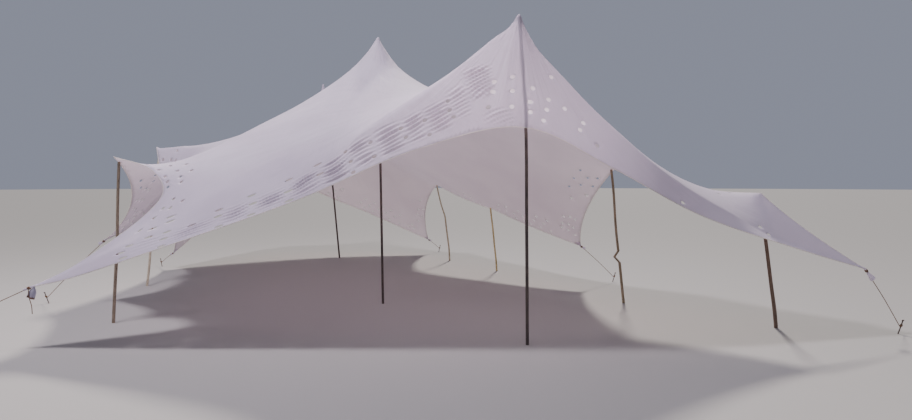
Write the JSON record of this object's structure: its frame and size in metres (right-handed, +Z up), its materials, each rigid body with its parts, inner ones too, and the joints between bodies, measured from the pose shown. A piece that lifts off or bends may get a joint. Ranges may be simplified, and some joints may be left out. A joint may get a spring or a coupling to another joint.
{
  "type": "stretch tent",
  "caption": "Elastic fabric canopy raised to peaks by slender masts, held up round its edge by side poles and roped down at its corners to ground pegs",
  "frame": {"origin": "on the ground, under the middle of the whole tent with its pegs", "axes": "+X to the right of the long front edge, +Y to the rear, +Z up"},
  "size_m": [12.6522, 11.7638, 4.4032],
  "materials": {
    "fabric": "white knitted stretch fabric, translucent, wrinkled where it is pulled",
    "mast": "dark weathered tube",
    "side_pole": "bare pale timber pole",
    "dark_pole": "dark bare timber pole",
    "rope": "laid rope",
    "peg": "dull steel, rubbed"
  },
  "bodies": {
    "root": {"front_left_corner": "fabric", "front_left_border": "fabric", "front_gable_left": "fabric", "front_gable_right": "fabric", "front_right_border": "fabric", "front_right_corner": "fabric", "left_slope": "fabric", "front_left_saddle": "fabric", "right_slope": "fabric", "front_right_saddle": "fabric", "right_gable": "fabric", "rear_right_saddle": "fabric", "rear_right_slope": "fabric", "rear_right_corner": "fabric", "rear_gable": "fabric", "rear_left_corner": "fabric", "rear_left_saddle": "fabric", "left_gable": "fabric", "front_mast": "mast", "centre_mast": "mast", "rear_mast": "mast", "left_front_pole": "side_pole", "left_rear_pole": "side_pole", "rear_right_pole": "side_pole", "right_rear_pole": "side_pole", "right_middle_pole": "side_pole", "right_front_pole": "dark_pole", "front_left_knot": "fabric", "front_left_rope": "rope", "front_left_peg": "peg", "front_left_rope_end": "rope", "front_right_knot": "fabric", "front_right_rope": "rope", "front_right_peg": "peg", "left_knot": "fabric", "left_rope": "rope", "left_peg": "peg", "rear_left_knot": "fabric", "rear_left_rope": "rope", "rear_left_peg": "peg", "rear_right_knot": "fabric", "rear_right_rope": "rope", "rear_right_peg": "peg", "right_knot": "fabric", "right_rope": "rope", "right_peg": "peg"}
  },
  "joints": []
}
